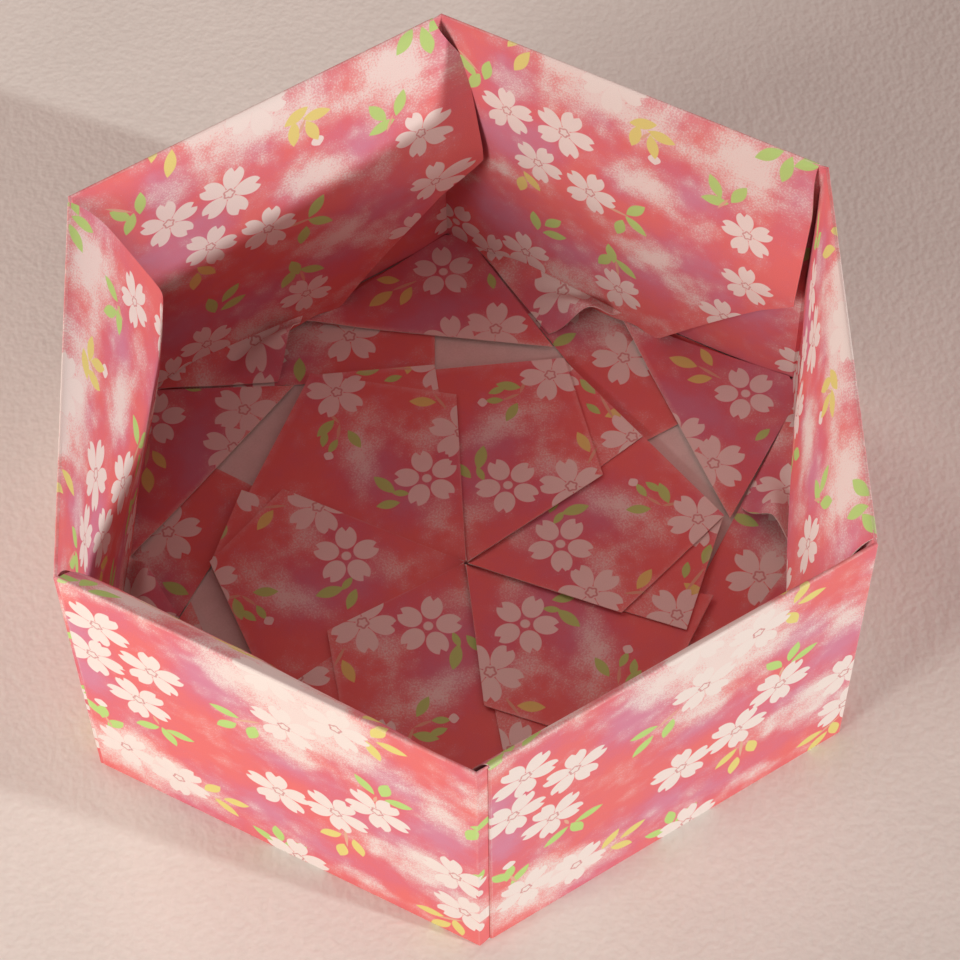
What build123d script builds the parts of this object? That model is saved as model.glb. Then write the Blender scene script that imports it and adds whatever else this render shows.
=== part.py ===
"""Hexagonal open box folded from six square sheets of printed paper.

Six identical folded units stand in a ring. Each unit is one sheet: outer wall
panel, floor sector, fold over the rim, inner flap, a tab that wraps one corner
and slips into the pocket of the neighbouring unit, the tab's triangle on the
floor, and one blade of the pinwheel that closes the floor.

Millimetres. +Z is up, the base stands on z = 0, the origin is the middle of
the base, and one corner of the hexagon points along +Y.
"""

import os
from math import cos, pi, sin, sqrt

from build123d import *

# ---------------------------------------------------------------- dimensions
sheet_side = 150.0                      # side of each square sheet before folding
apothem = sheet_side / 4.0              # centre to outer wall face
hex_side = apothem * 2.0 / sqrt(3.0)    # length of one wall, and the corner radius
height = sheet_side / 4.0               # floor to rim

paper = 0.20                            # thickness of one layer as modelled
tab_depth = (0.26, 0.60)                # tab lies between these depths inside a wall
flap_depth = 0.65                       # depth of the inner flap at the rim
edge_short = 1.3                        # panel edge stops this far from the corner
tab_reach = 0.46 * hex_side             # tab length along the neighbouring wall
tab_floor_gap = 0.30                    # tab stands this far above the base plane
tab_rim_gap = 0.45                      # tab top stays this far below the rim

flap_lean = 6.2                         # foot of the flap's free end, depth from the wall
flap_end_short = 1.0                    # flap's free end stops this far from the corner
slant_high = 0.50 * hex_side            # slanted edge starts this far below the rim
slant_foot = 0.55 * hex_side            # slanted edge meets the floor at this station

seam = 0.07                             # half gap between floor sectors along the wall
layer_top = 0.45                        # top of the flap's own layer on the floor
tri_bottom, tri_top = 0.52, 0.72        # levels of the tab's triangle on the floor
tri_start = 0.60 * hex_side             # station where that triangle starts

blade_twist = 4.0                       # pinwheel turned this many degrees
blade_edge = -30.0 + blade_twist        # direction of a blade's upper edge
blade_tuck = 36.0 + blade_twist         # direction of its hidden side
blade_ring = 0.645 * hex_side           # corner radius of the pinwheel's outline
blade_inner = 1.2                       # radius of the eye at the middle
blade_low, blade_high = 0.85, 1.65      # underside at the hidden side and at the upper edge
blade_step = 0.045 * hex_side           # lower layer set back from the upper edge


def pt(station, depth):
    """Plan point at a station along this wall and a depth inside its face."""
    return (apothem - depth, hex_side / 2 - station)


def pt_prev(station, depth):
    """The same on the neighbouring wall, stations counted from the shared corner."""
    a = pi / 3
    x0, y0 = apothem, hex_side / 2
    along = (cos(a + pi / 2), sin(a + pi / 2))
    return (x0 + along[0] * station - cos(a) * depth, y0 + along[1] * station - sin(a) * depth)


def corner(d_this, d_prev):
    """Plan point at given depths from this wall and from the neighbouring wall."""
    x = apothem - d_this
    return (x, (apothem - d_prev - x * cos(pi / 3)) / sin(pi / 3))


def polar(radius, degrees):
    return (radius * cos(degrees * pi / 180), radius * sin(degrees * pi / 180))


# ------------------------------------------------------- inner flap, leaning
# A ruled sheet: close to the wall at the wrapped corner, standing off at its
# free end, where a slanted edge runs down to the middle of the wall's foot.
flap_top = height - paper / 2
flap_from = Plane(origin=(apothem, hex_side / 2 - 1.4, 0), x_dir=(-1, 0, 0), z_dir=(0, -1, 0))
flap_to = Plane(
    origin=(apothem, -hex_side / 2 + flap_end_short, 0), x_dir=(-1, 0, 0), z_dir=(0, -1, 0)
)

with BuildPart() as flap:
    with BuildSketch(flap_from):
        with BuildLine():
            Polyline(
                (flap_depth, -flap_top),
                (flap_depth + paper, -flap_top),
                (flap_depth + paper, -paper / 2),
                (flap_depth, -paper / 2),
                close=True,
            )
        make_face()
    with BuildSketch(flap_to):
        with BuildLine():
            Polyline(
                (flap_depth, -flap_top),
                (flap_depth + paper, -flap_top),
                (flap_lean + paper, -paper / 2),
                (flap_lean, -paper / 2),
                close=True,
            )
        make_face()
    loft(ruled=True)
    # the corner below the slanted edge is folded away
    with BuildSketch(Plane(origin=(apothem + 1, 0, 0), x_dir=(0, -1, 0), z_dir=(-1, 0, 0))):
        with BuildLine():
            Polyline(
                (hex_side / 2 + 2, height - slant_high),
                (hex_side / 2 - flap_end_short, height - slant_high),
                (slant_foot - hex_side / 2, -1.0),
                (hex_side / 2 + 2, -1.0),
                close=True,
            )
        make_face()
    extrude(amount=14, mode=Mode.SUBTRACT)

# ------------------------------------------------- pinwheel blade, two layers
edge_plane = Plane(
    origin=(0, 0, 0),
    x_dir=(*polar(1, blade_edge), 0),
    z_dir=(*polar(1, blade_edge - 90), 0),
)
tuck_plane = Plane(
    origin=(0, 0, 0),
    x_dir=(*polar(1, blade_tuck), 0),
    z_dir=(*polar(1, blade_tuck - 90), 0),
)
tip = polar(blade_ring, blade_twist)                                  # outline corner
tuck_mid = polar(blade_ring * cos(pi / 6), 30 + blade_twist)          # outline side middles
edge_mid = polar(blade_ring * cos(pi / 6), -30 + blade_twist)
edge_end = polar(0.436 * hex_side, blade_edge)                        # end of the upper edge
reach = blade_ring * 1.3

with BuildPart() as blade_lower:
    with BuildSketch(tuck_plane):
        with BuildLine():
            Polyline(
                (blade_inner, blade_low),
                (reach, blade_low),
                (reach, blade_low + paper),
                (blade_inner, blade_low + paper),
                close=True,
            )
        make_face()
    with BuildSketch(edge_plane):
        with BuildLine():
            Polyline(
                (blade_inner, blade_high),
                (reach, blade_high),
                (reach, blade_high + paper),
                (blade_inner, blade_high + paper),
                close=True,
            )
        make_face()
    loft(ruled=True)
    # outline of the pinwheel, set back from the upper edge
    set_back = polar(blade_step, blade_edge + 90)
    with BuildSketch():
        with BuildLine():
            Polyline(
                set_back,
                (edge_mid[0] + set_back[0], edge_mid[1] + set_back[1]),
                tip,
                tuck_mid,
                polar(blade_ring * 0.90, 48 + blade_twist),
                polar(blade_step * 1.5, 48 + blade_twist),
                close=True,
            )
        make_face()
    extrude(amount=5, mode=Mode.INTERSECT)

with BuildPart() as blade_upper:
    with BuildSketch(tuck_plane):
        with BuildLine():
            Polyline(
                (blade_inner, blade_low + paper * 0.9),
                (reach, blade_low + paper * 0.9),
                (reach, blade_low + paper * 2),
                (blade_inner, blade_low + paper * 2),
                close=True,
            )
        make_face()
    with BuildSketch(edge_plane):
        with BuildLine():
            Polyline(
                (blade_inner, blade_high + paper * 0.9),
                (reach, blade_high + paper * 0.9),
                (reach, blade_high + paper * 2),
                (blade_inner, blade_high + paper * 2),
                close=True,
            )
        make_face()
    loft(ruled=True)
    with BuildSketch():
        with BuildLine():
            Polyline(
                polar(blade_inner * 0.5, blade_edge - 20),
                edge_end,
                tip,
                tuck_mid,
                polar(blade_ring * 0.90, 48 + blade_twist),
                polar(blade_inner * 0.5, 48 + blade_twist),
                close=True,
            )
        make_face()
    extrude(amount=5, mode=Mode.INTERSECT)

# ---------------------------------------------------------------- whole unit
fold_dir = (tip[0] - tuck_mid[0], tip[1] - tuck_mid[1])
fold_len = sqrt(fold_dir[0] ** 2 + fold_dir[1] ** 2)
fold_x = (fold_dir[0] / fold_len, fold_dir[1] / fold_len)
fold_plane = Plane(
    origin=(*tuck_mid, 0), x_dir=(*fold_x, 0), z_dir=(fold_x[1], -fold_x[0], 0)
)


def blade_level(degrees):
    """Middle of the blade's lower layer at a direction."""
    share = (blade_tuck - degrees) / (blade_tuck - blade_edge)
    return blade_low + share * (blade_high - blade_low) + paper / 2


with BuildPart() as unit_master:
    # outer wall panel, floor to rim, thicker where the sheet is doubled at the corner
    with BuildSketch():
        with BuildLine():
            Polyline(
                pt(hex_side - edge_short, 0),
                corner(0, tab_depth[0]),
                corner(flap_depth + paper, flap_depth + paper + 0.1),
                pt(1.6, flap_depth + paper),
                pt(1.6, paper),
                pt(hex_side - edge_short, paper),
                close=True,
            )
        make_face()
    extrude(amount=height)

    # tab round the corner, inside the neighbouring wall
    with BuildSketch(Plane.XY.offset(tab_floor_gap)):
        with BuildLine():
            Polyline(
                pt(1.2, 0.05),
                corner(0.0, tab_depth[0]),
                pt_prev(tab_reach, tab_depth[0]),
                pt_prev(tab_reach, tab_depth[1]),
                corner(flap_depth + paper, tab_depth[1]),
                pt(1.2, flap_depth),
                close=True,
            )
        make_face()
    extrude(amount=height - tab_floor_gap - tab_rim_gap)

    # fold over the rim
    with BuildSketch(Plane.XY.offset(height - paper)):
        with BuildLine():
            Polyline(
                pt(0.9, 0),
                pt(hex_side - edge_short, 0),
                pt(hex_side - edge_short, flap_depth + paper),
                pt(0.9, flap_depth + paper),
                close=True,
            )
        make_face()
    extrude(amount=paper)

    add(flap.part)

    # floor sector under the whole unit, its sides along the lines to the two corners
    side_len = hex_side - 0.9
    with BuildSketch():
        with BuildLine():
            Polyline(
                pt(seam, 0),
                pt(hex_side - edge_short, 0),
                pt(hex_side - edge_short, paper),
                pt(hex_side - seam - 0.16, paper),
                (apothem - side_len * cos(pi / 6), -hex_side / 2 + seam + side_len / 2),
                (apothem - side_len * cos(pi / 6), hex_side / 2 - seam - side_len / 2),
                close=True,
            )
        make_face()
    extrude(amount=paper)

    # second layer on the floor, continuing the flap
    with BuildSketch(Plane.XY.offset(paper / 2)):
        with BuildLine():
            Polyline(
                pt(2.2, 1.1),
                pt(0.90 * hex_side, 1.1),
                pt(0.734 * hex_side, 0.328 * hex_side),
                pt(0.56 * hex_side, 0.565 * hex_side),
                pt(0.44 * hex_side, 0.565 * hex_side),
                close=True,
            )
        make_face()
    extrude(amount=layer_top - paper / 2)

    # triangle of the tab, folded onto the floor
    with BuildSketch(Plane.XY.offset(tri_bottom)):
        with BuildLine():
            Polyline(
                pt_prev(hex_side - tri_start, tab_depth[0] + 0.02),
                corner(0.5, tab_depth[0] + 0.02),
                polar(blade_ring * 0.985, blade_twist),
                close=True,
            )
        make_face()
    extrude(amount=tri_top - tri_bottom)

    # blade of the pinwheel and the fold that carries it
    add(blade_lower.part)
    add(blade_upper.part)
    with BuildSketch(fold_plane):
        with BuildLine():
            Polyline(
                (0.16 * fold_len, paper / 2),
                (0.97 * fold_len, paper / 2),
                (0.97 * fold_len, blade_level(blade_twist)),
                (0.16 * fold_len, blade_level(26 + blade_twist)),
                close=True,
            )
        make_face()
    extrude(amount=0.35)

# ------------------------------------------------------------------ six units
os.makedirs("parts", exist_ok=True)

with BuildPart() as unit_back_right:
    add(unit_master.part, rotation=(0, 0, 60))
unit_back_right.part.label = "folded_unit_back_right"
export_step(unit_back_right.part, "parts/folded_unit_back_right.step")

with BuildPart() as unit_right:
    add(unit_master.part)
unit_right.part.label = "folded_unit_right"
export_step(unit_right.part, "parts/folded_unit_right.step")

with BuildPart() as unit_front_right:
    add(unit_master.part, rotation=(0, 0, -60))
unit_front_right.part.label = "folded_unit_front_right"
export_step(unit_front_right.part, "parts/folded_unit_front_right.step")

with BuildPart() as unit_front_left:
    add(unit_master.part, rotation=(0, 0, -120))
unit_front_left.part.label = "folded_unit_front_left"
export_step(unit_front_left.part, "parts/folded_unit_front_left.step")

with BuildPart() as unit_left:
    add(unit_master.part, rotation=(0, 0, 180))
unit_left.part.label = "folded_unit_left"
export_step(unit_left.part, "parts/folded_unit_left.step")

with BuildPart() as unit_back_left:
    add(unit_master.part, rotation=(0, 0, 120))
unit_back_left.part.label = "folded_unit_back_left"
export_step(unit_back_left.part, "parts/folded_unit_back_left.step")
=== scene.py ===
import math
import bpy
import numpy as np
from mathutils import Matrix, Vector


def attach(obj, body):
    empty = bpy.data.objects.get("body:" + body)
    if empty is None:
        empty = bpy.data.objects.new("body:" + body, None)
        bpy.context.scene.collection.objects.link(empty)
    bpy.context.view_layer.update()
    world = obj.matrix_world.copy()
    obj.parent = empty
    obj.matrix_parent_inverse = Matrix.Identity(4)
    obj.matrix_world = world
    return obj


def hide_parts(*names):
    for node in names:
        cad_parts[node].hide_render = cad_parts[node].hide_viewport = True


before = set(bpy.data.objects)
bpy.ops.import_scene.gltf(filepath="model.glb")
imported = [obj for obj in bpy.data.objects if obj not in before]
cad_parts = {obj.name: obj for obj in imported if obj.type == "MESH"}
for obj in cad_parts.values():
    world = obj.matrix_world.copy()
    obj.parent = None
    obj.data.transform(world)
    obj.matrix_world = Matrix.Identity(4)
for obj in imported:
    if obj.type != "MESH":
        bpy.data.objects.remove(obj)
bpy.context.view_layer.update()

# ---------------------------------------------------------------- sizes, in hexagon sides
SIDE = 0.0433013          # one side of the hexagon, metres
H = 0.866                 # height of the wall
T = 0.0028                # thickness of the paper
CREASE = 0.42             # middle crease of a flap, measured down from the rim
RIM = 0.0042              # radius of the fold at the rim
FOOT = 0.63               # where the slanted edge of a flap reaches the floor
EDGE = (0.978, 0.984, 0.967, 0.990, 0.982, 0.974)   # where each panel's folded edge stops short of the corner
TIP = (0.995, 0.995, 0.995, 0.995, 0.995, 1.024)    # how far along the wall each flap's tip reaches at its crease
TAB = -0.46               # reach of the tab round the corner
S3 = math.sqrt(3.0)

UNITS = ["back_right", "right", "front_right", "front_left", "left", "back_left"]
SHIFT = [0.014, 0.024, 0.018, -0.014, -0.016, -0.012]      # how far the print lies off on each sheet

# stand-off of each flap at its middle crease: (place along the rim, distance from the wall)
STAND = {
    0: ((0.0, 0.022), (0.3, 0.045), (0.6, 0.072), (1.0, 0.100)),
    1: ((0.0, 0.020), (0.25, 0.053), (0.42, 0.088), (0.59, 0.115), (0.75, 0.138), (1.0, 0.165)),
    2: ((0.0, 0.045), (0.45, 0.100), (0.67, 0.104), (0.82, 0.114), (1.0, 0.135)),
    3: ((0.0, 0.035), (0.27, 0.135), (0.6, 0.193), (1.0, 0.203)),
    4: ((0.0, 0.015), (0.24, 0.036), (0.39, 0.082), (0.58, 0.139), (0.82, 0.172), (1.0, 0.180)),
    5: ((0.0, 0.020), (0.26, 0.050), (0.6, 0.098), (1.0, 0.147)),
}


def corner(k):
    a = math.radians(90 - 60 * k)
    return np.array([math.cos(a), math.sin(a), 0.0])


def wall(k, u, d, z):
    """A point of wall k: u along the rim from its first corner, d inwards, z up."""
    a, b = corner(k), corner(k + 1)
    n = (a + b) / S3
    u, d, z = np.broadcast_arrays(np.asarray(u, float), np.asarray(d, float), np.asarray(z, float))
    return a + (b - a) * u[..., None] - n * d[..., None] + np.array([0, 0, 1.0]) * z[..., None]


def smooth(x):
    x = np.clip(x, 0, 1)
    return x * x * (3 - 2 * x)


def bump(x, c, w):
    return np.exp(-(((x - c) / w) ** 2))


def stand(k, u):
    p = STAND[k % 6]
    return np.interp(u, [a for a, _ in p], [b for _, b in p])


def upper(k, u, n=64):
    """Upper half of a flap at one place along the rim: length along the paper, distance inwards, drop."""
    s = np.linspace(0, CREASE, n)
    roll = math.radians(34) * float(0.3 + 0.7 * smooth(u / 0.25)) * np.exp(-s / 0.045)
    lo, hi = math.radians(-20), math.radians(50)
    goal = float(stand(k, u)) - 2 * RIM
    for _ in range(36):
        mid = 0.5 * (lo + hi)
        psi = mid + roll
        d = np.concatenate([[0], np.cumsum(0.5 * (np.sin(psi[1:]) + np.sin(psi[:-1])) * np.diff(s))])
        if d[-1] > goal:
            hi = mid
        else:
            lo = mid
    w = np.concatenate([[0], np.cumsum(0.5 * (np.cos(psi[1:]) + np.cos(psi[:-1])) * np.diff(s))])
    return s, 2 * RIM + d, w


def foot_inward(u):
    return 0.014 + 0.085 * np.clip(u, 0, 0.7)


def lower(u, dc, wc):
    """Direction and length of the lower half of a flap, from the crease to its lower edge."""
    uu = min(u, FOOT)
    drop = H - 0.014 - wc
    reach = float(foot_inward(uu)) - dc
    ang = math.atan2(reach, drop)
    length = math.hypot(drop, reach) - 0.020 * float(bump(u, 0.57, 0.05))
    if u > FOOT:
        ang = ang + (math.radians(-4) - ang) * float(smooth((u - FOOT) / (1 - FOOT)))
        length = min(length, max(1.2 * (1.0 - u), 0.010))
    return ang, length


def soft_profile(q, s, d, w, ang, length):
    """Distance inwards and drop along a flap, with the middle crease rounded off."""
    g = np.linspace(-0.12, CREASE + 0.6, 361)
    gd = np.where(g < CREASE, np.interp(g, s, d), d[-1] + (g - CREASE) * math.sin(ang))
    gw = np.where(g < CREASE, np.interp(g, s, w), w[-1] + (g - CREASE) * math.cos(ang))
    ker = np.exp(-(np.linspace(-1, 1, 41) / 0.45) ** 2)
    ker /= ker.sum()
    mixw = np.exp(-(((g - CREASE) / 0.07) ** 4))
    pad = lambda c: np.convolve(np.pad(c, 20, mode="edge"), ker, mode="valid")
    gd = gd + (pad(gd) - gd) * mixw
    gw = gw + (pad(gw) - gw) * mixw
    return np.interp(q, g, gd), np.interp(q, g, gw)


# ---------------------------------------------------------------- the print: places on the sheet
# flowers: x, y, turn, size, kind (1 ringed heart, 2 loose petals, 0.7 no ring); y runs up the wall, over the rim at H and on down the flap
FLOWERS = [
    (0.100, 0.730, -90), (0.225, 0.625, 90), (0.070, 0.577, -82), (0.173, 0.455, 46),
    (0.553, 0.662, 97), (0.683, 0.772, 80), (0.768, 0.457, -85), (0.660, 0.347, -80),
    (0.514, 0.315, 92), (0.957, 0.318, 100), (0.105, 0.165, 60), (0.240, 0.130, 50),
    (0.545, 0.008, 90), (0.977, 0.148, 150),
    (0.795, H + 0.225, 56, 0.94), (0.637, H + 0.213, 106), (0.705, H + 0.368, 100, 0.84), (0.557, H + 0.385, 110, 0.88),
    (0.137, H + 0.285, 70, 0.83), (0.120, H + 0.457, 56, 0.83), (0.172, H + 0.637, 62, 0.85), (0.527, H - 0.004, 95, 1.0, 0.7),
    (0.468, H + 0.733, 80, 0.86), (0.742, H + 0.775, 64, 0.88), (0.850, H + 0.842, 40, 0.88), (0.958, H + 0.790, 30, 0.92, 2),
]
# leaves: x, y, direction, kind (1 green, 2 yellow, 3 white bud), length
LEAVES = [
    (0.402, 0.602, -4, 1, 0), (0.402, 0.540, 45, 1, 0), (0.467, 0.557, 74, 1, 0),
    (0.742, 0.568, -52, 1, 0), (0.792, 0.583, 76, 1, 0), (0.824, 0.547, 20, 1, 0),
    (0.182, 0.342, 30, 1, 0), (0.237, 0.333, -65, 1, 0), (0.268, 0.365, 4, 1, 0),
    (0.060, 0.300, 80, 1, 0), (0.088, 0.262, 50, 1, 0), (0.037, 0.302, -55, 1, 0), (0.060, 0.342, 80, 3, 0),
    (0.460, 0.042, 150, 1, 0), (0.497, 0.083, 98, 1, 0), (0.541, 0.062, 33, 1, 0),
    (0.772, 0.752, -66, 2, 0), (0.817, 0.803, 2, 2, 0), (0.787, 0.848, 62, 2, 0), (0.762, 0.905, 65, 2, 0),
    (0.641, 0.226, 40, 2, 0), (0.667, 0.165, 80, 2, 0), (0.711, 0.217, -74, 2, 0),
    (0.331, 0.160, 52, 2, 0), (0.392, 0.143, 20, 2, 0), (0.363, 0.093, -36, 2, 0),
    (0.888, 0.063, 10, 2, 0), (0.915, 0.022, 45, 2, 0), (0.960, 0.045, -76, 2, 0),
    (1.000, 0.572, 70, 1, 0), (1.030, 0.620, 20, 1, 0), (1.010, 0.360, 60, 1, 0),
    (0.857, H + 0.115, 80, 1, 0), (0.912, H + 0.130, -50, 1, 0), (0.893, H + 0.172, 66, 1, 0),
    (0.175, H + 0.170, 64, 1, 0), (0.232, H + 0.217, 12, 1, 0), (0.236, H + 0.172, -60, 1, 0),
    (0.470, H + 0.463, 78, 1, 0), (0.425, H + 0.427, 147, 1, 0), (0.430, H + 0.372, 50, 1, 0),
    (0.450, H + 0.632, 150, 1, 0), (0.494, H + 0.600, 104, 1, 0), (0.512, H + 0.640, 60, 1, 0),
    (0.665, H + 0.600, 50, 1, 0), (0.660, H + 0.648, 20, 1, 0), (0.716, H + 0.625, 100, 1, 0),
    (0.030, H + 0.008, 30, 1, 0), (0.076, H + 0.042, 84, 1, 0), (0.126, H + 0.022, 34, 1, 0),
    (0.386, H + 0.093, 174, 2, 0), (0.405, H + 0.133, 106, 2, 0), (0.452, H + 0.120, 80, 2, 0),
    (0.437, H + 0.074, 20, 2, 0), (0.397, H + 0.170, 100, 3, 0),
    (0.722, H + 0.455, 128, 2, 0), (0.752, H + 0.487, 80, 2, 0),
    (0.985, H + 0.330, 70, 1, 0), (1.020, H + 0.370, 20, 1, 0), (1.045, H + 0.320, 120, 1, 0),
]
# stems: from x, y to x, y
STEMS = [
    (0.425, 0.580, 0.492, 0.625), (0.770, 0.535, 0.762, 0.500), (0.215, 0.372, 0.203, 0.405), (0.062, 0.285, 0.078, 0.235),
    (0.500, 0.055, 0.520, 0.020), (0.682, 0.195, 0.680, 0.285), (0.350, 0.130, 0.330, 0.090), (0.905, 0.050, 0.975, 0.095),
    (0.880, H + 0.135, 0.945, H + 0.085), (0.198, H + 0.195, 0.222, H + 0.238), (0.445, H + 0.405, 0.520, H + 0.405),
    (0.480, H + 0.620, 0.470, H + 0.680), (0.415, H + 0.090, 0.440, H + 0.125),
]
# white clouds: x, y, half width, half height, strength
CLOUDS = [
    (0.53, 0.80, 0.13, 0.10, 1.0), (0.64, 0.70, 0.10, 0.09, 0.9), (0.45, 0.74, 0.06, 0.09, 0.5), (0.68, 0.82, 0.08, 0.08, 1.0),
    (0.55, 0.55, 0.08, 0.05, 0.6), (0.49, 0.50, 0.06, 0.04, 0.35), (0.90, 0.66, 0.07, 0.08, 0.7), (0.93, 0.56, 0.05, 0.06, 0.45),
    (0.86, 0.27, 0.10, 0.07, 0.9), (0.80, 0.32, 0.06, 0.05, 0.5), (0.22, 0.12, 0.11, 0.08, 1.0), (0.10, 0.17, 0.09, 0.07, 0.9),
    (0.06, 0.06, 0.08, 0.05, 0.5), (0.50, 0.13, 0.07, 0.04, 0.45), (0.72, 0.05, 0.09, 0.04, 0.55), (0.16, 0.26, 0.05, 0.04, 0.35),
    (0.70, 0.60, 0.06, 0.05, 0.4), (0.99, 0.20, 0.06, 0.08, 0.6), (1.06, 0.72, 0.06, 0.10, 0.6), (0.02, 0.86, 0.05, 0.03, 0.3),
    (0.17, H + 0.09, 0.11, 0.10, 1.0), (0.41, H + 0.27, 0.08, 0.06, 0.75), (0.46, H + 0.29, 0.05, 0.05, 0.6), (0.40, H + 0.06, 0.09, 0.06, 0.7),
    (0.53, H + 0.03, 0.10, 0.08, 1.0), (0.40, H + 0.53, 0.12, 0.06, 0.75), (0.30, H + 0.58, 0.07, 0.06, 0.5), (0.60, H + 0.78, 0.08, 0.06, 0.7),
    (0.80, H + 0.10, 0.05, 0.06, 0.45), (0.80, H + 0.47, 0.05, 0.05, 0.45), (0.28, H + 0.33, 0.07, 0.05, 0.4), (0.66, H + 0.07, 0.06, 0.05, 0.45),
    (0.95, H + 0.55, 0.07, 0.08, 0.45), (1.12, H + 0.45, 0.08, 0.09, 0.6), (1.00, H + 0.10, 0.06, 0.07, 0.4), (0.35, H + 0.80, 0.07, 0.06, 0.4),
]
# violet drifts in the coral ground
VIOLETS = [
    (0.38, 0.72, 0.08, 0.12, 0.9), (0.04, 0.66, 0.05, 0.06, 0.9), (0.05, 0.47, 0.06, 0.07, 0.9), (0.80, 0.37, 0.09, 0.06, 0.7),
    (0.93, 0.50, 0.08, 0.07, 1.0), (0.80, 0.64, 0.09, 0.06, 0.8), (0.45, 0.19, 0.10, 0.06, 0.8), (0.58, 0.48, 0.10, 0.05, 0.7),
    (0.30, 0.04, 0.10, 0.05, 0.6), (0.95, 0.24, 0.06, 0.06, 0.7), (0.62, 0.12, 0.09, 0.06, 0.6), (0.14, 0.32, 0.07, 0.06, 0.4),
    (0.83, 0.18, 0.07, 0.05, 0.4), (0.18, 0.84, 0.06, 0.05, 0.4), (0.99, 0.82, 0.05, 0.06, 0.4),
    (0.03, H + 0.10, 0.06, 0.07, 0.7), (0.27, H + 0.23, 0.08, 0.06, 0.9), (0.56, H + 0.09, 0.07, 0.06, 0.6), (0.79, H + 0.11, 0.07, 0.07, 0.8),
    (0.80, H + 0.33, 0.08, 0.07, 0.9), (0.28, H + 0.47, 0.09, 0.06, 0.8), (0.47, H + 0.30, 0.05, 0.05, 0.6), (0.40, H + 0.62, 0.09, 0.06, 0.7),
    (0.70, H + 0.29, 0.06, 0.05, 0.7), (0.62, H + 0.70, 0.10, 0.07, 0.8), (0.20, H + 0.56, 0.06, 0.06, 0.6), (0.83, H + 0.66, 0.08, 0.08, 0.8),
    (1.05, H + 0.25, 0.08, 0.10, 0.8), (1.10, H + 0.62, 0.09, 0.08, 0.8), (1.05, H + 0.90, 0.08, 0.08, 0.6),
]
FLOOR_Y = 2 * H           # the sheet where it turns on to the floor
# the paper on the floor: x, y as above, y = FLOOR_Y + distance from the wall
FLOWERS += [
    (0.62, FLOOR_Y + 0.06, 60), (0.70, FLOOR_Y + 0.20, 80),
    (1.069, FLOOR_Y + 0.113, 27, 0.97, 2), (1.163, FLOOR_Y + 0.310, 30, 0.95), (1.052, FLOOR_Y + 0.337, 18),
    (0.40, FLOOR_Y + 0.15, 30),
]
LEAVES += [
    (1.249, FLOOR_Y + 0.099, 6, 2, 0.038), (1.190, FLOOR_Y + 0.126, 32, 2, 0.032), (1.203, FLOOR_Y + 0.059, 145, 2, 0.030),
    (0.560, FLOOR_Y + 0.17, 60, 1, 0), (0.600, FLOOR_Y + 0.24, 110, 1, 0), (0.630, FLOOR_Y + 0.215, 20, 1, 0),
    (0.860, FLOOR_Y + 0.11, 40, 2, 0), (0.45, FLOOR_Y + 0.30, 10, 2, 0), (0.980, FLOOR_Y + 0.205, 70, 1, 0.026),
]
STEMS += [(1.212, FLOOR_Y + 0.092, 1.141, FLOOR_Y + 0.101)]
CLOUDS += [
    (0.50, FLOOR_Y + 0.08, 0.09, 0.07, 0.8), (0.78, FLOOR_Y + 0.10, 0.07, 0.06, 0.5), (1.38, FLOOR_Y + 0.06, 0.08, 0.06, 0.6),
    (1.10, FLOOR_Y + 0.40, 0.08, 0.08, 0.6), (1.02, FLOOR_Y + 0.18, 0.06, 0.06, 0.4),
]
VIOLETS += [
    (0.60, FLOOR_Y + 0.13, 0.09, 0.06, 0.7), (1.18, FLOOR_Y + 0.23, 0.10, 0.07, 0.9), (1.33, FLOOR_Y + 0.02, 0.10, 0.06, 0.7), (0.90, FLOOR_Y + 0.25, 0.09, 0.09, 0.7),
]
# the pinwheel blade: x across, y outwards from the middle, moved aside by BLADE_X
BLADE_X = 5.0
BLADE_FLOWERS = [(0.234, 0.539, 41, 0.93), (0.112, 0.218, 42, 1.0, 2), (0.268, 0.205, 28, 0.98), (0.427, 0.345, 41, 0.95)]
BLADE_LEAVES = [
    (0.127, 0.512, -13, 1, 0.032), (0.090, 0.470, 0, 1, 0.023), (0.132, 0.433, 60, 1, 0.031), (0.060, 0.466, 0, 3, 0.013),
    (0.305, 0.333, -66, 2, 0.034), (0.049, 0.303, 76, 1, 0.036), (0.004, 0.268, 128, 1, 0.030), (0.046, 0.256, 112, 1, 0.022),
    (0.098, 0.500, 20, 1, 0.024),
    (0.326, 0.502, -53, 1, 0.030), (0.336, 0.434, -45, 1, 0.024), (0.395, 0.420, 20, 2, 0.034), (0.430, 0.250, -20, 1, 0.030),
]
BLADE_STEMS = [(0.155, 0.487, 0.112, 0.470), (0.155, 0.487, 0.172, 0.530), (0.338, 0.319, 0.312, 0.268), (0.355, 0.475, 0.385, 0.400)]
BLADE_CLOUDS = [(0.14, 0.39, 0.09, 0.06, 0.55), (0.20, 0.46, 0.06, 0.05, 0.45), (0.22, 0.28, 0.06, 0.04, 0.45), (0.39, 0.31, 0.05, 0.05, 0.5), (0.03, 0.16, 0.05, 0.05, 0.4), (0.05, 0.40, 0.05, 0.04, 0.35)]
BLADE_VIOLETS = [(0.09, 0.35, 0.08, 0.06, 0.7), (0.19, 0.19, 0.08, 0.05, 0.6), (0.02, 0.23, 0.05, 0.06, 0.6), (0.24, 0.60, 0.08, 0.05, 0.4)]
FLOWERS += [(f[0] + BLADE_X, *f[1:]) for f in BLADE_FLOWERS]
LEAVES += [(x + BLADE_X, y, a, kind, l) for x, y, a, kind, l in BLADE_LEAVES]
STEMS += [(a + BLADE_X, b, c + BLADE_X, d) for a, b, c, d in BLADE_STEMS]
CLOUDS += [(x + BLADE_X, y, a, b, s) for x, y, a, b, s in BLADE_CLOUDS]
VIOLETS += [(x + BLADE_X, y, a, b, s) for x, y, a, b, s in BLADE_VIOLETS]

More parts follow.
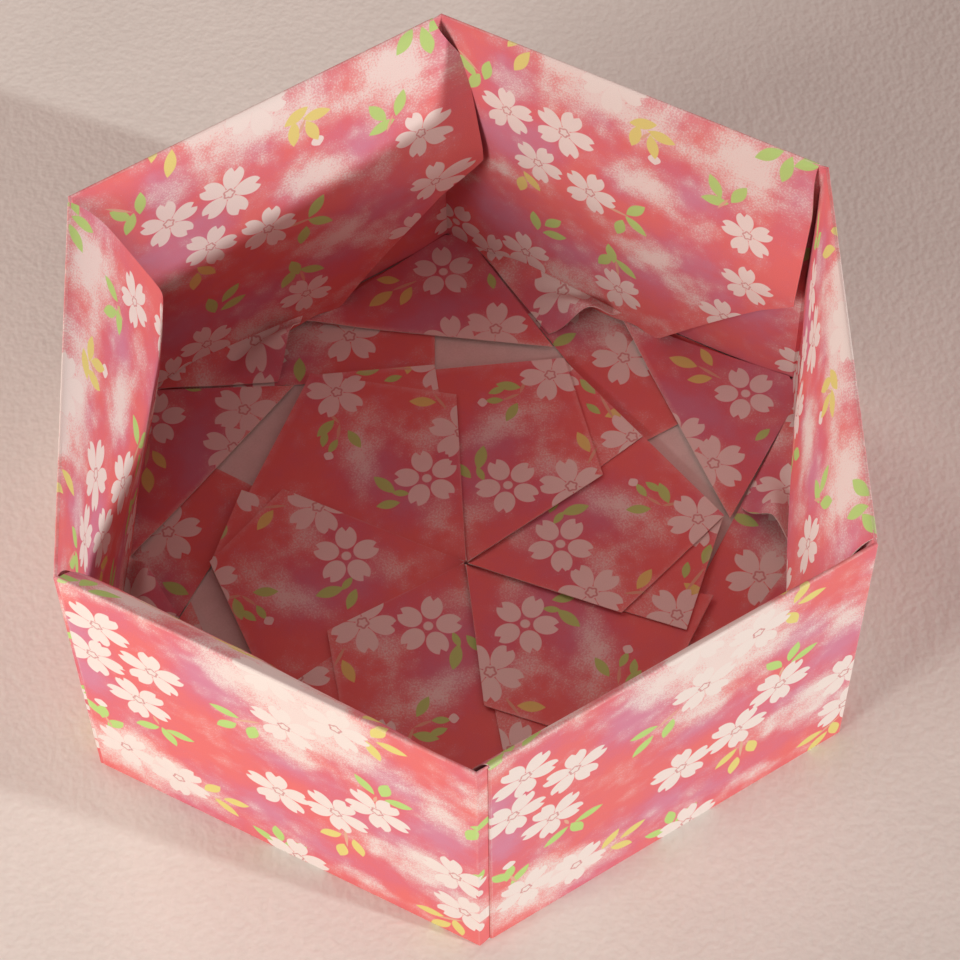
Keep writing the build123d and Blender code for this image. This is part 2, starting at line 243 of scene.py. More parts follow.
FLOWER_R = 0.082
LEAF_L = 0.037
LEAF_W = 0.0155


def layers_of(items, clash):
    """Sorts the motifs into as few layers as keep overlapping ones apart."""
    layers = []
    for it in items:
        for lay in layers:
            if not any(clash(it, o) for o in lay):
                lay.append(it)
                break
        else:
            layers.append([it])
    return layers


def leaf_clash(p, q):
    for (x, y, a, _, ln, wd), o in ((p, q), (q, p)):
        for t in np.linspace(-1, 1, 9):
            px, py = o[0] + t * o[4] * math.cos(o[2]) - x, o[1] + t * o[4] * math.sin(o[2]) - y
            e = (px * math.cos(a) + py * math.sin(a)) / (ln + 0.012)
            f = (py * math.cos(a) - px * math.sin(a)) / (wd + o[5] + 0.012)
            if e * e < 1 and f * f < 1:
                return True
    return False


flower_items = [(f[0], f[1], math.radians(f[2]), *(tuple(f[3:]) + (1.0, 1.0)[len(f) - 3:])) for f in FLOWERS]
leaf_items = [(x, y, math.radians(a), kind, (l or LEAF_L) if kind < 3 else (l or 0.017), (l or LEAF_L) * LEAF_W / LEAF_L if kind < 3 else (l or 0.017)) for x, y, a, kind, l in LEAVES]
leaf_items += [((a + c) / 2, (b + d) / 2, math.atan2(d - b, c - a), 4, 0.5 * math.hypot(c - a, d - b), 0.0042) for a, b, c, d in STEMS]
FLOWER_LAYERS = layers_of(flower_items, lambda p, q: math.hypot(p[0] - q[0], p[1] - q[1]) < 1.90 * FLOWER_R)
LEAF_LAYERS = layers_of(leaf_items, leaf_clash)
print("layers", len(FLOWER_LAYERS), len(LEAF_LAYERS))


def field(x, y, blobs, grow):
    keep = np.ones_like(x)
    for cx, cy, a, b, s in blobs:
        keep = keep * (1 - s * np.exp(-(((x - cx) / (a * grow)) ** 2 + ((y - cy) / (b * grow)) ** 2)))
    return 1 - keep


# ---------------------------------------------------------------- paper shells
class Paper:
    """Collects the layers of one folded sheet as closed shells with a printed face and a white back."""

    def __init__(self):
        self.v, self.f, self.m, self.xy, self.fold, self.n = [], [], [], [], [], 0

    def add(self, p, x, y, fold, side=1.0, thick=T, plain=False, cut=None):
        """p is the printed face as a grid of points; side says which way the print looks."""
        a, b = p.shape[:2]
        di, dj = np.gradient(p, axis=0), np.gradient(p, axis=1)
        nrm = np.cross(di, dj)
        nrm = nrm / np.maximum(np.linalg.norm(nrm, axis=-1, keepdims=True), 1e-12) * side
        back = p - nrm * thick
        base = self.n
        idx = base + np.arange(a * b).reshape(a, b)
        idy = idx + a * b
        top = np.stack([idx[:-1, :-1], idx[1:, :-1], idx[1:, 1:], idx[:-1, 1:]], -1).reshape(-1, 4)
        bot = np.stack([idy[:-1, :-1], idy[:-1, 1:], idy[1:, 1:], idy[1:, :-1]], -1).reshape(-1, 4)
        ring = np.concatenate([idx[:-1, 0], idx[-1, :-1], idx[:0:-1, -1], idx[0, :0:-1]])
        nxt = np.roll(ring, -1)
        edge = np.stack([ring, ring + a * b, nxt + a * b, nxt], -1)
        if side < 0:
            top, bot, edge = top[:, ::-1], bot[:, ::-1], edge[:, ::-1]
        self.v += [p.reshape(-1, 3), back.reshape(-1, 3)]
        self.f += [top, bot, edge]
        self.m += [np.full(len(top), 1 if plain else 0), np.ones(len(bot), int), np.ones(len(edge), int)]
        xy = np.stack([np.broadcast_to(x, (a, b)), np.broadcast_to(y, (a, b))], -1).reshape(-1, 2)
        self.xy += [xy, xy]
        fo = np.broadcast_to(fold, (a, b)).reshape(-1)
        self.fold += [fo, fo]
        self.n += 2 * a * b

    def build(self, name, shift, mats):
        v = np.concatenate(self.v) * SIDE
        f = np.concatenate(self.f)
        m = np.concatenate(self.m)
        xy = np.concatenate(self.xy).copy()
        xy[:, 0] -= np.where(xy[:, 0] < 3, shift, 0)
        fold = np.concatenate(self.fold)
        me = bpy.data.meshes.new(name)
        me.vertices.add(len(v))
        me.vertices.foreach_set("co", v.astype(np.float32).ravel())
        me.loops.add(4 * len(f))
        me.loops.foreach_set("vertex_index", f.astype(np.int32).ravel())
        me.polygons.add(len(f))
        me.polygons.foreach_set("loop_start", np.arange(0, 4 * len(f), 4, dtype=np.int32))
        me.polygons.foreach_set("material_index", m.astype(np.int32))
        me.polygons.foreach_set("use_smooth", np.ones(len(f), bool))
        me.update(calc_edges=True)
        for mat in mats:
            me.materials.append(mat)
        put = lambda nm, kind, dom, key, val: me.attributes.new(nm, kind, dom).data.foreach_set(key, val.astype(np.float32).ravel())
        put("sheet", "FLOAT_VECTOR", "POINT", "vector", np.concatenate([xy, np.zeros((len(xy), 1))], 1))
        put("cloud", "FLOAT", "POINT", "value", field(xy[:, 0], xy[:, 1], CLOUDS, 1.12))
        put("violet", "FLOAT", "POINT", "value", field(xy[:, 0], xy[:, 1], VIOLETS, 1.35))
        put("fold", "FLOAT", "POINT", "value", fold)
        cx = xy[f]                                             # faces, corners, 2
        mid = cx.mean(1)
        size = np.linalg.norm(cx - mid[:, None], axis=-1).max(1)
        for i, lay in enumerate(FLOWER_LAYERS):
            out = np.zeros((len(f), 4, 3))
            out[..., 0] = 9.0
            best = np.full(len(f), 9.0)
            for x, y, a, grow, kind in lay:
                far = np.hypot(mid[:, 0] - x, mid[:, 1] - y)
                near = (far < FLOWER_R * grow + size) & (far < best) & (m == 0)
                best[near] = far[near]
                d = (cx[near] - np.array([x, y])) / (FLOWER_R * grow)
                c, s = math.cos(a), math.sin(a)
                out[near] = np.stack([d[..., 0] * c + d[..., 1] * s, -d[..., 0] * s + d[..., 1] * c, np.full(d.shape[:2], float(kind))], -1)
            put("flower%d" % i, "FLOAT_VECTOR", "CORNER", "vector", out)
        for i, lay in enumerate(LEAF_LAYERS):
            out = np.zeros((len(f), 4, 3))
            out[..., 0] = 9.0
            best = np.full(len(f), 99.0)
            for x, y, a, kind, ln, wd in lay:
                c, s = math.cos(a), math.sin(a)
                dx, dy = mid[:, 0] - x, mid[:, 1] - y
                e, h = np.abs(dx * c + dy * s), np.abs(dy * c - dx * s)
                far = np.hypot(e / ln, h / wd)
                near = (e < ln + size) & (h < wd + size) & (far < best) & (m == 0)
                best[near] = far[near]
                d = cx[near] - np.array([x, y])
                out[near] = np.stack([(d[..., 0] * c + d[..., 1] * s) / ln, (-d[..., 0] * s + d[..., 1] * c) / wd, np.full(d.shape[:2], float(kind))], -1)
            put("leaf%d" % i, "FLOAT_VECTOR", "CORNER", "vector", out)
        me.set_sharp_from_angle(angle=math.radians(38))
        ob = bpy.data.objects.new(name, me)
        bpy.context.scene.collection.objects.link(ob)
        return ob


def wrap(paper, k):
    """Panel, rim, flap and the tab round the first corner, as one continuous piece of paper."""
    cols = np.concatenate([np.linspace(TAB, -0.07, 22), [-0.052, -0.040, -0.031, -0.022, -0.013, -0.006, -0.002, 0.0, 0.002, 0.006, 0.013, 0.022],
                           np.linspace(0.034, EDGE[k] - 0.017, 54), EDGE[k] + np.array([-0.009, -0.004, 0.0])])
    n_out, n_arc, n_up, n_low = 46, 6, 27, 25
    P, X, Y, F = [], [], [], []
    prof0 = upper(k, 0.0)
    for u in cols:
        f_out = np.linspace(0, 1, n_out)
        if u >= 0:
            mitre = max(0.0, 1 - u / 0.2) / S3
            z = f_out * (H - RIM)
            sag = 0.0035 * np.sin(np.pi * np.clip(u / EDGE[k], 0, 1)) * np.sin(np.pi * f_out) * (0.6 + 0.4 * math.cos(7 * u + k))
            a = np.radians(np.linspace(172, 44, n_arc))
            s, d, w = upper(k, u)
            ang, length = lower(u, d[-1], w[-1])
            q1 = np.linspace(0, CREASE, n_up)
            q2 = CREASE + np.linspace(0, 1, n_low + 1)[1:] * length
            t = np.linspace(0, 1, n_low + 1)[1:]
            sway = -0.012 * np.sin(np.pi * t) * float(smooth((0.7 - u) / 0.3))
            q12 = np.concatenate([q1, q2])
            dq, wq = soft_profile(q12, s, d, w, ang, length)
            dq[n_up:] += sway
            dd = np.concatenate([sag, RIM + RIM * np.cos(a), dq])
            zz = np.concatenate([z, H - RIM + RIM * np.sin(a), H - 0.0015 - wq])
            yy = np.concatenate([z, H + np.linspace(-0.6, 0.6, n_arc) * RIM, H + RIM + np.concatenate([q1, q2])])
            uu = np.full(len(dd), u) + mitre * dd
            far = np.concatenate([np.zeros(n_out + n_arc), (TIP[k] - EDGE[k]) * smooth(np.concatenate([q1, q2]) / 0.16)])
            uu = uu + far * smooth((u - 0.90) / (EDGE[k] - 0.90))
            P.append(wall(k, uu, dd, zz))
            fold = np.concatenate([np.zeros(n_out), np.full(n_arc, 0.30), 0.0 * q12])
            if u > EDGE[k] - 0.001:
                fold[:n_out] = 0.35
            if abs(u) < 0.003:
                fold[:n_out + n_arc] = 0.12
        else:
            s_in = float(smooth(-u / 0.10))
            d_out = float(np.interp(-u, [0, 0.031, 0.06], [0, 0.0050, 0.0110]))
            d_in = 0.0235
            top = H - 0.020 * float(smooth((-u - 0.028) / 0.05))
            mitre = max(0.0, 1 + u / 0.2) / S3
            z = f_out * (top - RIM)
            a = np.linspace(172, 44, n_arc)
            q1 = np.linspace(0, CREASE, n_up)
            q2 = CREASE + np.linspace(0, 1, n_low + 1)[1:] * (H - 0.014 - CREASE)
            q = np.concatenate([q1, q2])
            ang, length = lower(0.0, prof0[1][-1], prof0[2][-1])
            d0 = np.concatenate([np.interp(q1, prof0[0], prof0[1]), prof0[1][-1] + (q2 - CREASE) * math.sin(ang)])
            d1 = np.minimum(d_in, d_out + 0.003 + 0.4 * q)
            dq = d0 * (1 - s_in) + d1 * s_in
            ra = 0.5 * (dq[0] - d_out)
            dd = np.concatenate([np.full(n_out, d_out), d_out + ra + ra * np.cos(np.radians(a)), dq])
            zz = np.concatenate([z, top - RIM + RIM * np.sin(np.radians(a)), np.interp(q / q[-1], [0, 1], [top - 0.0015, 0.0125])])
            yy = np.concatenate([z, H + np.linspace(-0.6, 0.6, n_arc) * RIM, H + RIM + q])
            uu = 1 + u - mitre * dd
            P.append(wall(k - 1, uu, dd, zz))
            fold = np.concatenate([np.zeros(n_out), np.full(n_arc, 0.2), np.zeros(n_up + n_low)])
        X.append(np.full(len(dd), 1 - u))
        Y.append(yy)
        F.append(fold)
    P, X, Y, F = (np.array(c) for c in (P, X, Y, F))
    paper.add(P, X, Y, F, side=-1.0)


def folded_edge(paper, k):
    """The panel turns back on itself at its far edge."""
    r = 0.0036
    z = np.linspace(0.002, H - 0.005, 46)
    a = np.radians(np.linspace(90, -90, 9))
    e = EDGE[k]
    uu = np.concatenate([e + 0.0002 + r * np.cos(a), np.linspace(e - 0.008, e - 0.07, 5)])
    dd = np.concatenate([r - r * np.sin(a), np.full(5, 2 * r)])
    s = np.concatenate([[0], np.cumsum(np.hypot(np.diff(uu), np.diff(dd)))])
    U, Z = np.meshgrid(uu, z, indexing="ij")
    D, _ = np.meshgrid(dd, z, indexing="ij")
    S, _ = np.meshgrid(s, z, indexing="ij")
    F = np.zeros_like(U)
    F[2:6] = 0.4
    paper.add(wall(k, U, D, Z), 1 - e - S, Z, F, side=-1.0)


def quad_patch(paper, k, corners, z, x_of, fold_edges=(0, 0, 0, 0), n=(26, 26), side=1.0, plain=False, thick=T):
    """A flat layer on the floor between four corners given as (along the wall, inwards)."""
    a = np.linspace(0, 1, n[0])[:, None]
    b = np.linspace(0, 1, n[1])[None, :]
    c = [np.array(p, float) for p in corners]
    uv = ((1 - a) * (1 - b))[..., None] * c[0] + (a * (1 - b))[..., None] * c[1] + (a * b)[..., None] * c[2] + ((1 - a) * b)[..., None] * c[3]
    u, d = uv[..., 0], uv[..., 1]
    zz = z(u, d, a * np.ones_like(b), b * np.ones_like(a))
    fold = np.zeros_like(u)
    fold[:, 0] = fold_edges[0]
    fold[-1, :] = fold_edges[1]
    fold[:, -1] = fold_edges[2]
    fold[0, :] = fold_edges[3]
    paper.add(wall(k, u, d, zz), x_of(u), FLOOR_Y + d, fold, side=side, plain=plain, thick=thick)


# the pinwheel, in the frame of the blade in front of wall 0: middle, blade tip, outer corners
# each blade: tip P3, outer corner P2, and how far its print has moved along with it
BLADES = (
    ((0.347, 0.235), (0.272, 0.589), (0.000, 0.000)), ((0.318, 0.240), (0.225, 0.604), (-0.035, 0.005)),
    ((0.324, 0.219), (0.270, 0.585), (-0.030, -0.015)), ((0.338, 0.172), (0.285, 0.560), (-0.015, -0.050)),
    ((0.420, 0.266), (0.340, 0.520), (0.062, 0.015)), ((0.420, 0.248), (0.312, 0.605), (0.058, -0.020)),
)
P1 = (-0.024, 0.574)
MIDDLE = (0.008, -0.019)  # where the blades meet, off the middle of the box


def line_r(t, a, b):
    """Distance from the middle to the line a-b in direction t."""
    c, s = np.cos(t), np.sin(t)
    ax, ay = a
    bx, by = b[0] - a[0], b[1] - a[1]
    return (ax * by - ay * bx) / (c * by - s * bx)


def blade(paper, k):
    ang = lambda p: math.atan2(p[1], p[0])
    P3, P2, move = BLADES[k]
    NEXT_P1 = (0.482 + 0.4 * move[0], 0.311 + 0.4 * move[1])
    t3, t2, t1, tn = ang(P3), ang(P2), ang(P1), ang(NEXT_P1)
    turn = -math.radians(60 * k)
    c, s = math.cos(turn), math.sin(turn)

    def lay(t, r0, r1, z_of, n_r, fold_rows, shade=0.0, thick=T):
        f = np.linspace(0, 1, n_r)[None, :]
        R = r0[:, None] * (1 - f) + r1[:, None] * f
        x, y = R * np.cos(t)[:, None], R * np.sin(t)[:, None]
        z = z_of(t[:, None] * np.ones_like(f), R)
        p = np.stack([MIDDLE[0] + x * c - y * s, MIDDLE[1] + x * s + y * c, z], -1)
        fold = np.zeros_like(R)
        for i, j, val in fold_rows:
            fold[i, j] = val
        paper.add(p, x + BLADE_X - move[0], y - move[1], fold, side=-1.0, thick=thick)

    # height falls away anticlockwise, so that each blade passes under the one before it
    z_up = lambda t, R: 0.0340 - 0.0130 * (t - t3) / math.radians(78) + 0.002 * smooth((0.10 - R) / 0.10)
    t_up = np.concatenate([np.linspace(t3, t2, 26), np.linspace(t2, t1, 24)[1:], np.linspace(t1, t1 + math.radians(17), 9)[1:]])
    r_out = np.where(t_up <= t2 + 1e-9, line_r(t_up, P3, P2), line_r(t_up, P2, P1))
    full = slice(None)
    lay(t_up, np.full_like(t_up, 0.005), r_out, z_up, 30, [(0, full, 0.25), (full, -1, 0.25)])
    # the layer folded under it shows beyond the blade's slanted edge
    t_lo = np.linspace(tn + math.radians(4.5), t2 + math.radians(3), 20)
    r_lo = np.where(t_lo <= t2, line_r(t_lo, NEXT_P1, P2), line_r(t_lo, P2, P1) - 0.004)
    lay(t_lo, np.full_like(t_lo, 0.30), r_lo - 0.002, lambda t, R: z_up(t, R) - 0.0050, 20, [(full, -1, 0.3)])


def unit(k, mats):
    paper = Paper()
    wrap(paper, k)
    folded_edge(paper, k)
    # lowest floor layer: print down, white up
    a = np.linspace(0.03, 0.996, 24)[:, None]
    b = np.linspace(0.0, 1.0, 24)[None, :]
    p = a[..., None] * ((1 - b)[..., None] * corner(k) + b[..., None] * corner(k + 1))
    p[..., 2] = 0.0
    paper.add(p, 1 - b * np.ones_like(a), -H * (1 - a) * np.ones_like(b), 0 * a * b, side=1.0)
    # second floor layer, print up, that goes on from the foot of the flap
    quad_patch(paper, k, [(0.09, 0.022), (0.945, 0.026), (0.729, 0.373), (0.40, 0.192)],
               lambda u, d, s, t: 0.0085 + 0.004 * np.exp(-d / 0.03), lambda u: 1 - u, (0, 0.3, 0, 0), n=(44, 30), side=-1.0)
    # the foot of the flap runs out on to the floor and ends in a buckled raw edge
    b0, b1, b2 = np.array([0.085, 0.016]), np.array([0.385, 0.176]), np.array([0.535, 0.056])
    r = np.linspace(0.03, 1, 34)[:, None, None]
    f = np.linspace(0, 1, 34)[None, :, None]
    uv = b0 + r * ((1 - f) * (b2 - b0) + f * (b1 - b0))
    u, d = uv[..., 0], uv[..., 1]
    over = np.clip(d - foot_inward(u), 0, 1)
    arch = bump(f[..., 0], 0.46, 0.30) * smooth((r[..., 0] - 0.55) / 0.45) * (1 - np.abs(2 * f[..., 0] - 1) ** 4)
    z = 0.0155 + 0.040 * np.exp(-over / 0.022) * smooth(r[..., 0] / 0.4) * smooth((0.62 - u) / 0.10) + 0.088 * arch
    paper.add(wall(k, u, d, z), 1 - u, FLOOR_Y + d, 0 * u, side=-1.0)
    # the tab's triangle on the floor in front of the wall before
    m, bb, tt, ss = np.array([0.535, 0.056]), np.array([0.992, 0.016]), np.array([1.027, 0.462]), np.array([1.030, 0.060])
    r = np.linspace(0.02, 1, 26)[:, None, None]
    f = np.linspace(0, 2, 37)[None, :, None]
    rim = np.where(f <= 1, (1 - f) * m + f * tt, (2 - f) * tt + (f - 1) * ss)
    uv = bb + r * (rim - bb)
    u, d = uv[..., 0], uv[..., 1]
    z = 0.0165 + 0.006 * np.exp(-d / 0.03) + 0.010 * bump(np.hypot(u - 0.56, d - 0.07), 0, 0.09)
    fold = np.zeros_like(u)
    fold[-1, :19] = 0.5
    paper.add(wall(k - 1, u, d, z), 2 - u, FLOOR_Y + d, fold, side=1.0)
    blade(paper, k)
    ob = paper.build("printed_unit_" + UNITS[k], SHIFT[k], mats)
    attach(ob, "root")
    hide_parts("folded_unit_" + UNITS[k])
    return ob


# ---------------------------------------------------------------- materials
class Nodes:
    def __init__(self, name):
        self.mat = bpy.data.materials.new(name)
        self.mat.use_nodes = True
        self.t = self.mat.node_tree
        self.bsdf = self.t.nodes["Principled BSDF"]

    def link(self, a, b):
        self.t.links.new(a, b)

    def node(self, kind, **kw):
        n = self.t.nodes.new(kind)
        for key, val in kw.items():
            setattr(n, key, val)
        return n

    def m(self, op, a, b=None, c=None, clamp=False):
        n = self.node("ShaderNodeMath", operation=op, use_clamp=clamp)
        for i, s in enumerate((a, b, c)):
            if s is None:
                continue
            if isinstance(s, (int, float)):
                n.inputs[i].default_value = s
            else:
                self.link(s, n.inputs[i])
        return n.outputs[0]

    def step(self, x, lo, hi):
        n = self.node("ShaderNodeMapRange", interpolation_type="SMOOTHSTEP")
        self.link(x, n.inputs["Value"])
        n.inputs["From Min"].default_value = lo
        n.inputs["From Max"].default_value = hi
        return n.outputs["Result"]

    def attr(self, name, vector=False):
        n = self.node("ShaderNodeAttribute", attribute_name=name)
        return n.outputs["Vector"] if vector else n.outputs["Fac"]

    def split(self, v):
        n = self.node("ShaderNodeSeparateXYZ")
        self.link(v, n.inputs[0])
        return n.outputs

    def noise(self, vec, scale, detail=3.0, rough=0.55, dist=0.0, dims="3D"):
        n = self.node("ShaderNodeTexNoise", noise_dimensions=dims)
        self.link(vec, n.inputs["Vector"])
        n.inputs["Scale"].default_value = scale
        n.inputs["Detail"].default_value = detail
        n.inputs["Roughness"].default_value = rough
        n.inputs["Distortion"].default_value = dist
        return n.outputs["Fac"]

    def pick(self, fac, a, b):
        n = self.node("ShaderNodeMix", data_type="VECTOR")
        self.link(fac, [i for i in n.inputs if i.name == "Factor" and i.type == "VALUE"][0])
        for s, key in ((a, "A"), (b, "B")):
            self.link(s, [i for i in n.inputs if i.name == key and i.type == "VECTOR"][0])
        return [o for o in n.outputs if o.type == "VECTOR"][0]

    def mix(self, fac, a, b):
        n = self.node("ShaderNodeMix", data_type="RGBA")
        self.link(fac, n.inputs["Factor"])
        for s, key in ((a, "A"), (b, "B")):
            sock = [i for i in n.inputs if i.name == key and i.type == "RGBA"][0]
            if isinstance(s, tuple):
                sock.default_value = (*s, 1.0)
            else:
                self.link(s, sock)
        return [o for o in n.outputs if o.type == "RGBA"][0]


CORAL, MAGENTA, VIOLET = (0.860, 0.222, 0.222), (0.780, 0.215, 0.275), (0.710, 0.285, 0.410)
WHITE = (0.900, 0.850, 0.815)
GREEN, YELLOW = (0.530, 0.790, 0.270), (0.820, 0.760, 0.270)
RING = (0.560, 0.060, 0.085)


def printed():
    g = Nodes("printed_face")
    sheet = g.attr("sheet", True)
    big = g.noise(sheet, 7.0, 2.0)
    mid = g.noise(sheet, 26.0, 3.0, 0.6)
    haze = g.noise(sheet, 9.5, 2.0, 0.6)
    fine = g.noise(sheet, 210.0, 1.0, 0.7)
    grain = g.noise(sheet, 620.0, 0.0, dims="2D")
    # ground: coral drifting to magenta and violet
    tone = g.m("ADD", g.attr("violet"), g.m("MULTIPLY", g.m("SUBTRACT", big, 0.5), 0.9))
    tone = g.m("ADD", tone, g.m("MULTIPLY", g.m("SUBTRACT", mid, 0.5), 0.45))
    tone = g.m("ADD", tone, g.m("MULTIPLY", g.m("SUBTRACT", fine, 0.5), 0.25))
    col = g.mix(g.step(tone, -0.08, 0.48), CORAL, MAGENTA)
    col = g.mix(g.step(tone, 0.32, 0.92), col, VIOLET)
    # white clouds with a sprayed edge
    cl = g.m("ADD", g.attr("cloud"), g.m("MULTIPLY", g.m("SUBTRACT", mid, 0.5), 0.45))
    cl = g.m("ADD", cl, g.m("MULTIPLY", g.m("SUBTRACT", haze, 0.46), 1.7))
    soft = g.step(cl, 0.05, 1.0)
    dots = g.step(g.m("ADD", cl, g.m("MULTIPLY", g.m("SUBTRACT", fine, 0.5), 1.9)), 0.35, 0.95)
    both = g.m("ADD", g.m("MULTIPLY", soft, 0.48), g.m("MULTIPLY", dots, 0.44))
    col = g.mix(both, col, WHITE)
    # leaves, buds and stems
    for i in range(len(LEAF_LAYERS)):
        x, y, kind = g.split(g.attr("leaf%d" % i, True))
        body = g.m("SUBTRACT", g.m("SUBTRACT", 1.0, g.m("MULTIPLY", x, x)), g.m("ABSOLUTE", y))
        inside = g.m("MULTIPLY", g.step(body, -0.06, 0.08), g.step(kind, 0.4, 0.6))
        tint = g.mix(g.step(kind, 1.4, 1.6), GREEN, YELLOW)
        tint = g.mix(g.step(kind, 2.4, 2.6), tint, WHITE)
        tint = g.mix(g.step(kind, 3.4, 3.6), tint, (0.80, 0.50, 0.36))
        col = g.mix(inside, col, tint)
    # blossoms of five notched petals round a small ringed heart
    near = g.attr("flower0", True)
    x, y, on = g.split(near)
    r2 = g.m("ADD", g.m("MULTIPLY", x, x), g.m("MULTIPLY", y, y))
    for i in range(1, len(FLOWER_LAYERS)):
        # of overlapping blossoms, the one whose heart is nearer shows
        other = g.attr("flower%d" % i, True)
        x, y, on = g.split(other)
        q2 = g.m("ADD", g.m("MULTIPLY", x, x), g.m("MULTIPLY", y, y))
        near = g.pick(g.m("LESS_THAN", q2, r2), near, other)
        r2 = g.m("MINIMUM", r2, q2)
    x, y, on = g.split(near)
    r = g.m("SQRT", r2)
    th = g.m("ARCTAN2", y, x)
    turn = g.m("SUBTRACT", g.m("FRACT", g.m("ADD", g.m("MULTIPLY", th, 5 / (2 * math.pi)), 10.5)), 0.5)
    phi = g.m("MULTIPLY", turn, 2 * math.pi / 5)
    a = g.m("MULTIPLY", r, g.m("COSINE", phi))
    b = g.m("ABSOLUTE", g.m("MULTIPLY", r, g.m("SINE", phi)))
    ea = g.m("DIVIDE", g.m("SUBTRACT", a, 0.585), 0.435)
    # broad towards the tip, narrow at the heart
    wide = g.m("ADD", 0.225, g.m("MULTIPLY", a, 0.165))
    eb = g.m("DIVIDE", b, wide)
    oval = g.m("ADD", g.m("MULTIPLY", ea, ea), g.m("MULTIPLY", eb, eb))
    petal = g.step(oval, 1.10, 0.93)
    notch = g.step(g.m("SUBTRACT", g.m("ADD", 0.835, g.m("MULTIPLY", b, 1.35)), a), -0.02, 0.02)
    white = g.m("MINIMUM", petal, notch)
    white = g.m("MAXIMUM", white, g.step(r, 0.24, 0.20))
    # loose petals round a dot
    la, lb = g.m("DIVIDE", g.m("SUBTRACT", a, 0.620), 0.385), g.m("DIVIDE", b, 0.318)
    loose = g.step(g.m("ADD", g.m("MULTIPLY", la, la), g.m("MULTIPLY", lb, lb)), 1.08, 0.92)
    loose = g.m("MAXIMUM", g.m("MINIMUM", loose, notch), g.step(r, 0.165, 0.125))
    kind2 = g.step(on, 1.4, 1.6)
    white = g.m("ADD", g.m("MULTIPLY", white, g.m("SUBTRACT", 1.0, kind2)), g.m("MULTIPLY", loose, kind2))
    star = g.m("ADD", r, g.m("MULTIPLY", g.m("COSINE", g.m("MULTIPLY", turn, 2 * math.pi)), -0.020))
    ring = g.m("MULTIPLY", g.step(star, 0.110, 0.140), g.step(star, 0.205, 0.170))
    ring = g.m("MULTIPLY", ring, g.m("MULTIPLY", g.step(on, 0.8, 0.9), g.m("SUBTRACT", 1.0, kind2)))
    col = g.mix(g.m("MULTIPLY", white, g.step(on, 0.4, 0.6)), col, WHITE)
    col = g.mix(g.m("MULTIPLY", ring, 0.56), col, RING)
    # rubbed folds
    worn = g.m("MULTIPLY", g.attr("fold"), g.step(g.m("ADD", mid, g.m("MULTIPLY", fine, 0.5)), 0.45, 0.95))
    col = g.mix(worn, col, (0.93, 0.80, 0.76))
    # printed grain
    hue = g.node("ShaderNodeHueSaturation")
    g.link(col, hue.inputs["Color"])
    g.link(g.m("ADD", 0.93, g.m("MULTIPLY", grain, 0.14)), hue.inputs["Value"])
    g.link(hue.outputs[0], g.bsdf.inputs["Base Color"])
    # matt paper: no sheen, which also keeps the render short
    g.bsdf.inputs["Roughness"].default_value = 0.72
    g.bsdf.inputs["Specular IOR Level"].default_value = 0.0
    return g.mat


def reverse():
    g = Nodes("paper_white")
    co = g.node("ShaderNodeTexCoord").outputs["Object"]
    fib = g.noise(co, 5200.0, 1.0, 0.7)
    blot = g.noise(co, 420.0, 1.0)
    val = g.m("ADD", g.m("MULTIPLY", fib, 0.5), g.m("MULTIPLY", blot, 0.5))
    col = g.mix(g.step(val, 0.2, 0.8), (0.80, 0.755, 0.72), (0.90, 0.865, 0.835))
    g.link(col, g.bsdf.inputs["Base Color"])
    g.bsdf.inputs["Roughness"].default_value = 0.80
    g.bsdf.inputs["Specular IOR Level"].default_value = 0.0
    return g.mat


def table():
    g = Nodes("pale_table")
    co = g.node("ShaderNodeTexCoord").outputs["Object"]
    a = g.noise(co, 1100.0, 1.0, 0.6, dims="2D")
    b = g.noise(co, 90.0, 0.0, dims="2D")
    col = g.mix(g.step(g.m("ADD", g.m("MULTIPLY", a, 0.6), g.m("MULTIPLY", b, 0.4)), 0.25, 0.75), (0.800, 0.815, 0.770), (0.840, 0.855, 0.810))
    g.link(col, g.bsdf.inputs["Base Color"])
    g.bsdf.inputs["Roughness"].default_value = 0.85
    g.bsdf.inputs["Specular IOR Level"].default_value = 0.0
    bp = g.node("ShaderNodeBump")
    bp.inputs["Strength"].default_value = 0.25
    bp.inputs["Distance"].default_value = 0.0003
    g.link(a, bp.inputs["Height"])
    g.link(bp.outputs[0], g.bsdf.inputs["Normal"])
    return g.mat


mats = [printed(), reverse()]
for k in range(6):
    unit(k, mats)

# ---------------------------------------------------------------- table, light and camera
bpy.ops.mesh.primitive_plane_add(size=3.0, location=(0, 0, 0))
floor = bpy.context.object
floor.name = "table_top"
floor.data.materials.append(table())


def aim(ob, target):
    d = Vector(target) - ob.location
    ob.rotation_euler = d.to_track_quat("-Z", "Y").to_euler()


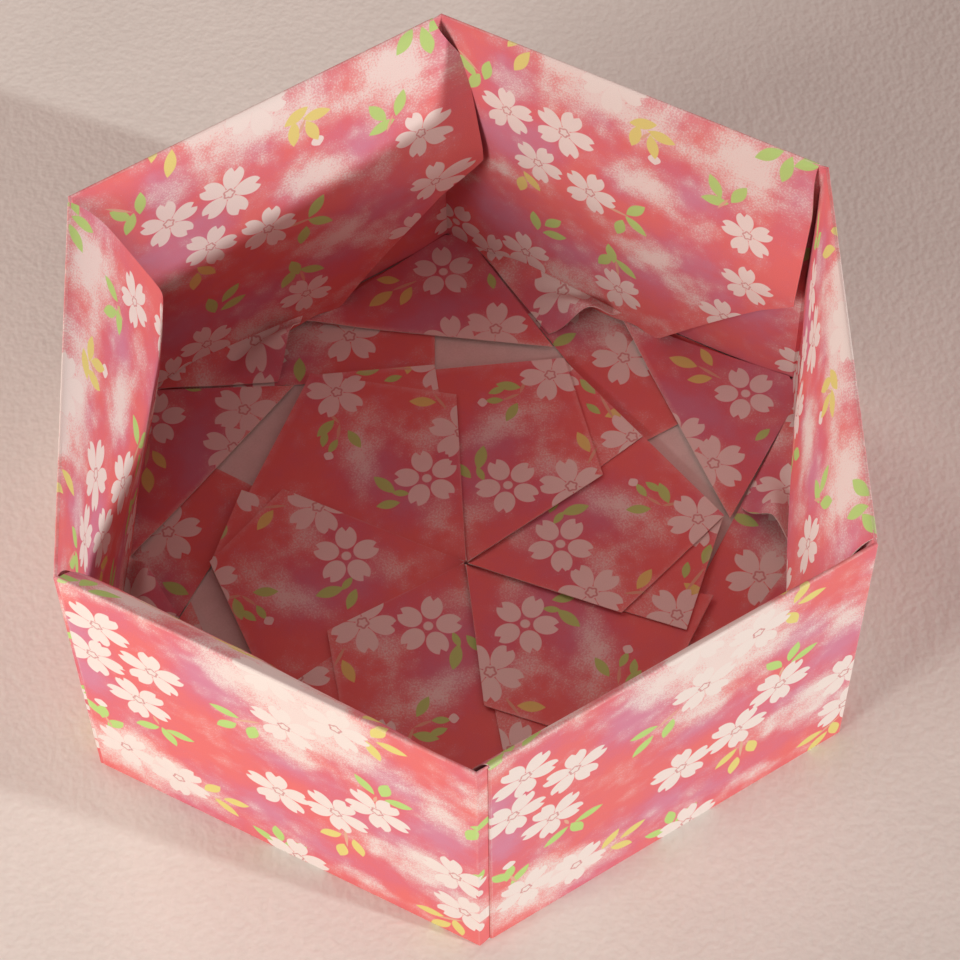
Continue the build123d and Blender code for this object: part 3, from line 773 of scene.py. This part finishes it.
def area(name, az, el, dist, size, power, color):
    """A soft square light; az is the direction it stands in, measured from +X."""
    li = bpy.data.lights.new(name, "AREA")
    li.shape = "DISK"
    li.size = size
    li.energy = power
    li.color = color
    ob = bpy.data.objects.new(name, li)
    a, e = math.radians(az), math.radians(el)
    ob.location = Vector((math.cos(a) * math.cos(e), math.sin(a) * math.cos(e), math.sin(e))) * dist
    bpy.context.scene.collection.objects.link(ob)
    aim(ob, (0, 0, 0.02))
    return ob


area("key", -23, 14.5, 2.2, 0.100, 30.5, (1.0, 0.97, 0.93))
area("left", -144, 24, 0.6, 0.27, 2.42, (1.0, 0.92, 0.85))
area("back", 130, 42, 0.9, 0.40, 1.1, (1.0, 0.80, 0.72))
world = bpy.data.worlds.new("studio")
bpy.context.scene.world = world
world.use_nodes = True
world.node_tree.nodes["Background"].inputs[0].default_value = (1.0, 0.58, 0.55, 1)
world.node_tree.nodes["Background"].inputs[1].default_value = 0.235
# three soft bounces are enough in an open box, and keep the render short
bpy.context.scene.cycles.diffuse_bounces = 3

AZ, EL, ROLL = math.radians(-1.73), math.radians(58.18), math.radians(-0.82)
back = Vector((math.sin(AZ) * math.cos(EL), -math.cos(AZ) * math.cos(EL), math.sin(EL)))
right = (-back).cross(Vector((0, 0, 1))).normalized()
upv = right.cross(-back)
r2 = right * math.cos(ROLL) + upv * math.sin(ROLL)
u2 = upv * math.cos(ROLL) - right * math.sin(ROLL)
cam = bpy.data.cameras.new("camera")
cam.lens = 112.08
cam.sensor_width = 36.0
cam.clip_start = 0.01
cam_ob = bpy.data.objects.new("camera", cam)
bpy.context.scene.collection.objects.link(cam_ob)
eye = Vector((0.047, 0.049, 0.3)) * SIDE + back * 7.039 * SIDE
cam_ob.matrix_world = Matrix(((r2.x, u2.x, back.x, eye.x), (r2.y, u2.y, back.y, eye.y), (r2.z, u2.z, back.z, eye.z), (0, 0, 0, 1)))
bpy.context.scene.camera = cam_ob
bpy.context.scene.view_settings.view_transform = "Standard"
